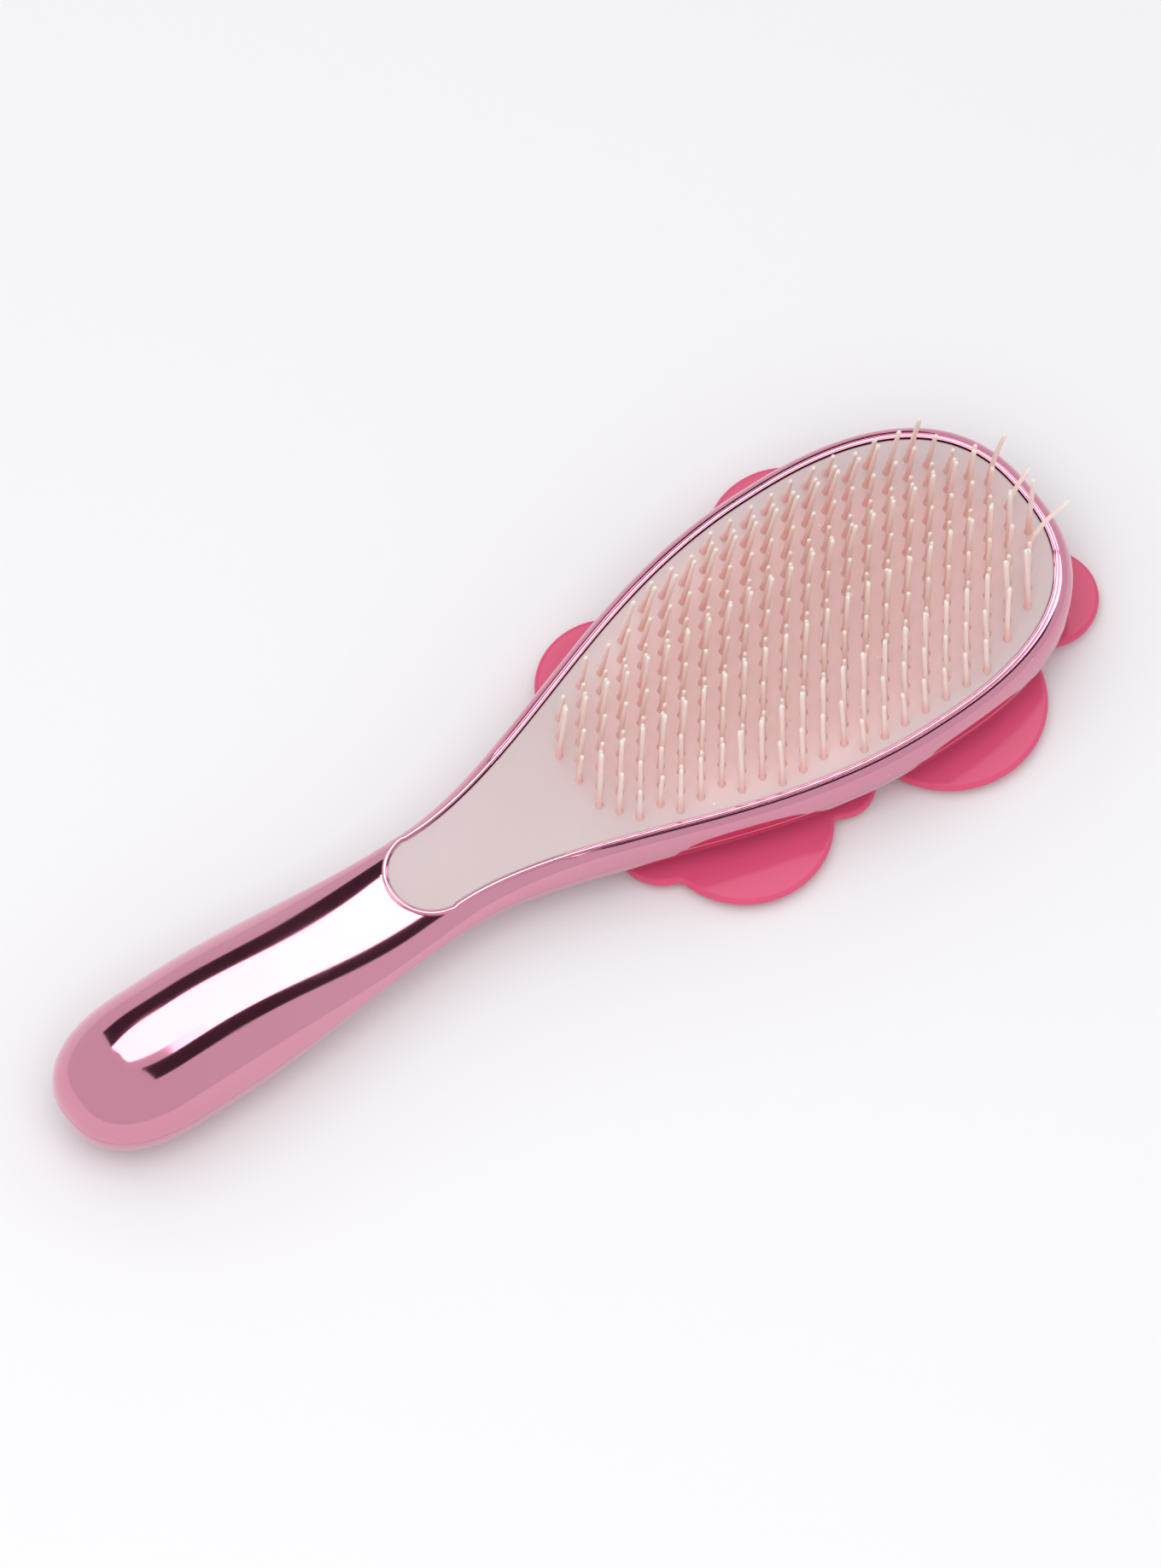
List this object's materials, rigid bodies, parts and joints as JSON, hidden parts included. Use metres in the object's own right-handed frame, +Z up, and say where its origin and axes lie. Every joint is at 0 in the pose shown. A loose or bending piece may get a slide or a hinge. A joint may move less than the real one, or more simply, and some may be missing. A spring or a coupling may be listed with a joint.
{
  "type": "detangling hairbrush",
  "caption": "Hand hairbrush with a hollow two-shell body, a flush panel of slim bristles in three lengths and a lobed blossom ornament on its back.",
  "frame": {"origin": "under the middle of the whole brush, on the surface that it lies on", "axes": "+Z up, the way the bristles point; +X along the brush, from the handle to the head"},
  "size_m": [0.2293, 0.081, 0.0371],
  "materials": {
    "plated_shell": "pink vacuum-plated gloss",
    "panel": "satin, slightly translucent",
    "bristle": "satin, slightly translucent",
    "ornament": "gloss",
    "blossom": "gloss",
    "gem": "high gloss",
    "screw": "zinc plated"
  },
  "bodies": {
    "root": {"front_shell": "plated_shell", "back_shell": "plated_shell", "bristle_panel": "panel", "long_bristles": "bristle", "medium_bristles": "bristle", "short_bristles": "bristle", "shell_screws": "screw", "ornament_plate": "ornament", "ornament_blossom": "blossom", "blossom_gem": "gem", "ornament_screws": "screw"}
  },
  "joints": []
}
